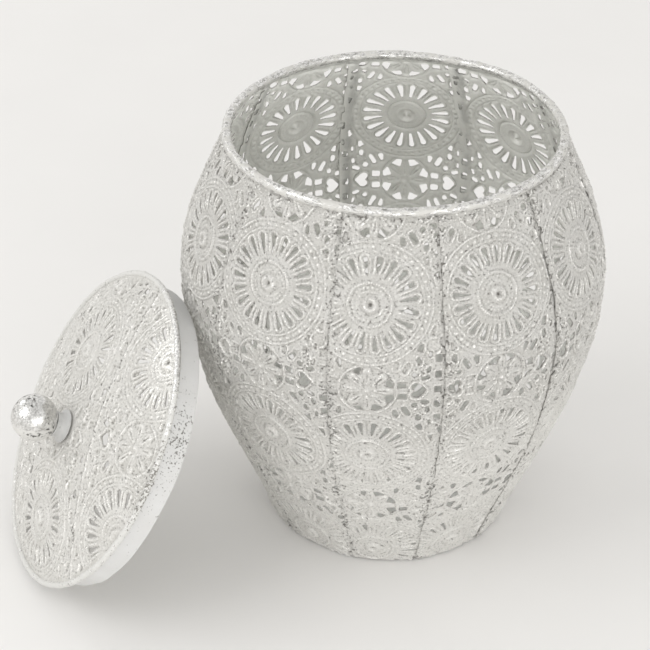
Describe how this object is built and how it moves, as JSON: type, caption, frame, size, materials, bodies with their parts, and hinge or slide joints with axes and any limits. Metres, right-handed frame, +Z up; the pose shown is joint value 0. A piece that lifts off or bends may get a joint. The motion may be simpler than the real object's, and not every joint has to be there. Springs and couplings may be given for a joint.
{
  "type": "tealight holder",
  "caption": "Bellied jar of pierced, embossed sheet-metal panels in a white wash over silver, with a round ball-knobbed lid leaning against its side.",
  "frame": {"origin": "centre of the underside of the base", "axes": "+Z up along the jar's axis; the lid leans on the -X side, and +Y completes the right hand"},
  "size_m": [0.2597, 0.18, 0.1855],
  "materials": {
    "washed_sheet": "satin white wash worn through to silver on the relief",
    "worn_wire": "satin white wash, chipped to silver",
    "white_paint": "matt white with dark speckle",
    "silvered_ball": "polished silver, white wash on part of it",
    "bare_steel": "dull grey"
  },
  "bodies": {
    "jar": {"base_plate": "bare_steel", "gore_01": "washed_sheet", "gore_02": "washed_sheet", "gore_03": "washed_sheet", "gore_04": "washed_sheet", "gore_05": "washed_sheet", "gore_06": "washed_sheet", "gore_07": "washed_sheet", "gore_08": "washed_sheet", "gore_09": "washed_sheet", "gore_10": "washed_sheet", "rim_wire": "worn_wire"},
    "lid": {"lid_panel_wide": "washed_sheet", "lid_panel_narrow": "washed_sheet", "lid_edge": "worn_wire", "lid_skirt": "white_paint", "knob_collar": "bare_steel", "knob_ball": "silvered_ball", "knob_washer": "bare_steel", "knob_screw": "bare_steel"}
  },
  "joints": [
    {"name": "lid_lift", "type": "slide", "parent": "jar", "child": "lid", "axis": [0, 0, 1], "range_m": [0, 0.13]}
  ]
}
